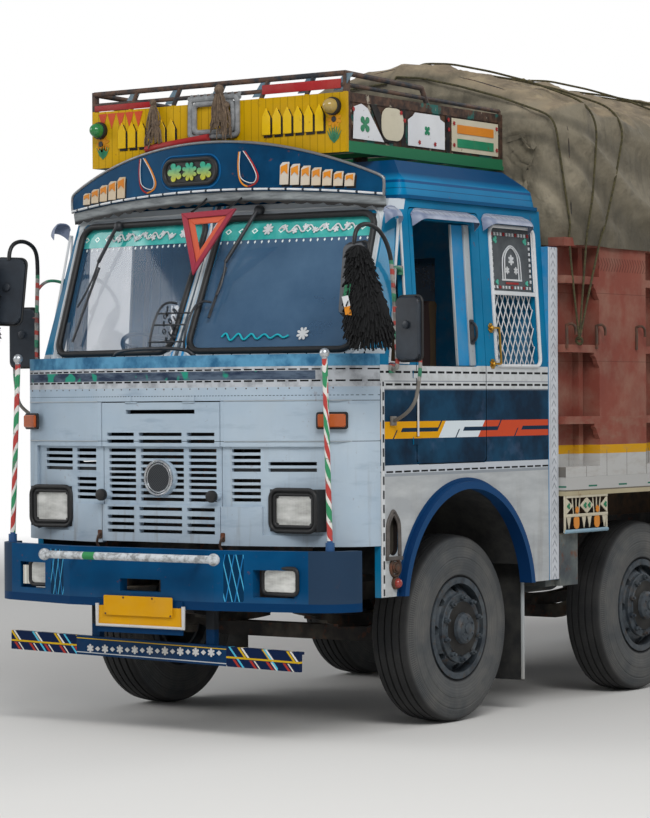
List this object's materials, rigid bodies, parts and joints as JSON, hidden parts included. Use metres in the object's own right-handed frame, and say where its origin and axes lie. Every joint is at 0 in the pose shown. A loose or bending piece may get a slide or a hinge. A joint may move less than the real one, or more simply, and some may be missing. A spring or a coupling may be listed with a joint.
{
  "type": "decorated truck",
  "caption": "Four-axle goods truck with an ornamented cab, carved crown, high-sided load body under a tied sheet, steered front wheels and twin rear wheels",
  "frame": {"origin": "on the ground, under the middle of the bounding box", "axes": "front towards -Y, the truck's left side towards +X, up +Z"},
  "size_m": [2.8864, 9.9378, 3.8498],
  "materials": {
    "cab_paint": "blue gloss paint, hand painted ornament, worn",
    "body_paint": "terracotta paint on plates, carved bands",
    "crown_paint": "deep blue board with painted ornament",
    "carrier_paint": "yellow board, rusty pipe rails",
    "bumper_paint": "blue paint with brush strokes",
    "chassis_steel": "dusty dark paint with rust",
    "hub_paint": "grey blue paint, dusty",
    "tyre_rubber": "dusty black rubber",
    "soft_rubber": "black rubber",
    "lamp_glass": "clear lens",
    "window_glass": "clear glass",
    "cloth": "olive grey waterproof cloth",
    "seat_cover": "red patterned cover",
    "dash_plastic": "dark grey plastic",
    "mirror_back": "dark plastic housing, painted arms",
    "bed_wood": "worn planks on steel bearers",
    "bare_pipe": "pipe, partly rusty"
  },
  "bodies": {
    "truck": {"chassis_frame": "chassis_steel", "leaf_springs": "chassis_steel", "front_axles": "chassis_steel", "rear_axles": "chassis_steel", "driveline": "chassis_steel", "side_tanks": "chassis_steel", "front_bumper": "bumper_paint", "lower_bar": "bumper_paint", "cab_floor": "cab_paint", "cab_front": "cab_paint", "windscreen_frame": "cab_paint", "cab_glass": "window_glass", "cab_side_left": "cab_paint", "cab_side_right": "cab_paint", "cab_back": "cab_paint", "cab_roof": "cab_paint", "sun_visor": "crown_paint", "roof_carrier": "carrier_paint", "lamps": "lamp_glass", "lamp_surrounds": "soft_rubber", "mirrors": "mirror_back", "marker_poles": "bare_pipe", "seats": "seat_cover", "dashboard": "dash_plastic", "steering_wheel": "dash_plastic", "bed_floor": "bed_wood", "gate_hinges": "body_paint", "headboard": "body_paint", "bed_side_left": "body_paint", "bed_side_right": "body_paint", "tarpaulin": "cloth", "tarp_hoops": "bare_pipe", "mudguards": "soft_rubber"},
    "flap": {"grille_flap": "cab_paint"},
    "left_door": {"door_left": "cab_paint"},
    "right_door": {"door_right": "cab_paint"},
    "gate": {"tailgate": "body_paint"},
    "steered_hub_1l": {"knuckle_1l": "chassis_steel"},
    "road_wheel_1l": {"tyre_1l": "tyre_rubber", "wheel_1l": "hub_paint"},
    "steered_hub_1r": {"knuckle_1r": "chassis_steel"},
    "road_wheel_1r": {"tyre_1r": "tyre_rubber", "wheel_1r": "hub_paint"},
    "steered_hub_2l": {"knuckle_2l": "chassis_steel"},
    "road_wheel_2l": {"tyre_2l": "tyre_rubber", "wheel_2l": "hub_paint"},
    "steered_hub_2r": {"knuckle_2r": "chassis_steel"},
    "road_wheel_2r": {"tyre_2r": "tyre_rubber", "wheel_2r": "hub_paint"},
    "road_wheels_3l": {"tyres_3l": "tyre_rubber", "wheels_3l": "hub_paint"},
    "road_wheels_3r": {"tyres_3r": "tyre_rubber", "wheels_3r": "hub_paint"},
    "road_wheels_4l": {"tyres_4l": "tyre_rubber", "wheels_4l": "hub_paint"},
    "road_wheels_4r": {"tyres_4r": "tyre_rubber", "wheels_4r": "hub_paint"}
  },
  "joints": [
    {"name": "steer_1l", "type": "hinge", "parent": "truck", "child": "steered_hub_1l", "pos_m": [0.8, -3.376, 0.525], "axis": [0, 0, 1], "range_deg": [-38, 38]},
    {"name": "roll_1l", "type": "hinge", "parent": "steered_hub_1l", "child": "road_wheel_1l", "pos_m": [0.985, -3.376, 0.525], "axis": [1, 0, 0], "continuous": true},
    {"name": "steer_1r", "type": "hinge", "parent": "truck", "child": "steered_hub_1r", "pos_m": [-0.8, -3.376, 0.525], "axis": [0, 0, 1], "range_deg": [-38, 38]},
    {"name": "roll_1r", "type": "hinge", "parent": "steered_hub_1r", "child": "road_wheel_1r", "pos_m": [-0.985, -3.376, 0.525], "axis": [1, 0, 0], "continuous": true},
    {"name": "steer_2l", "type": "hinge", "parent": "truck", "child": "steered_hub_2l", "pos_m": [0.8, -1.276, 0.525], "axis": [0, 0, 1], "range_deg": [-22.8, 22.8]},
    {"name": "roll_2l", "type": "hinge", "parent": "steered_hub_2l", "child": "road_wheel_2l", "pos_m": [0.985, -1.276, 0.525], "axis": [1, 0, 0], "continuous": true},
    {"name": "steer_2r", "type": "hinge", "parent": "truck", "child": "steered_hub_2r", "pos_m": [-0.8, -1.276, 0.525], "axis": [0, 0, 1], "range_deg": [-22.8, 22.8]},
    {"name": "roll_2r", "type": "hinge", "parent": "steered_hub_2r", "child": "road_wheel_2r", "pos_m": [-0.985, -1.276, 0.525], "axis": [1, 0, 0], "continuous": true},
    {"name": "roll_3l", "type": "hinge", "parent": "truck", "child": "road_wheels_3l", "pos_m": [0.93, 2.174, 0.525], "axis": [1, 0, 0], "continuous": true},
    {"name": "roll_3r", "type": "hinge", "parent": "truck", "child": "road_wheels_3r", "pos_m": [-0.93, 2.174, 0.525], "axis": [1, 0, 0], "continuous": true},
    {"name": "roll_4l", "type": "hinge", "parent": "truck", "child": "road_wheels_4l", "pos_m": [0.93, 3.544, 0.525], "axis": [1, 0, 0], "continuous": true},
    {"name": "roll_4r", "type": "hinge", "parent": "truck", "child": "road_wheels_4r", "pos_m": [-0.93, 3.544, 0.525], "axis": [1, 0, 0], "continuous": true},
    {"name": "open_left_door", "type": "hinge", "parent": "truck", "child": "left_door", "pos_m": [1.203, -3.925, 2.15], "axis": [0, 0, -1], "range_deg": [0, 70]},
    {"name": "open_right_door", "type": "hinge", "parent": "truck", "child": "right_door", "pos_m": [-1.203, -3.925, 2.15], "axis": [0, 0, 1], "range_deg": [0, 70]},
    {"name": "lift_grille_flap", "type": "hinge", "parent": "truck", "child": "flap", "pos_m": [0, -4.648, 1.797], "axis": [-1, 0, 0], "range_deg": [0, 80]},
    {"name": "lower_tailgate", "type": "hinge", "parent": "truck", "child": "gate", "pos_m": [0, 4.894, 1.3845], "axis": [-1, 0, 0], "range_deg": [0, 90]}
  ],
  "couplings": [
    {"joint": "steer_1r", "follows": "steer_1l", "ratio": 1},
    {"joint": "steer_2l", "follows": "steer_1l", "ratio": 0.6},
    {"joint": "steer_2r", "follows": "steer_1l", "ratio": 0.6}
  ]
}
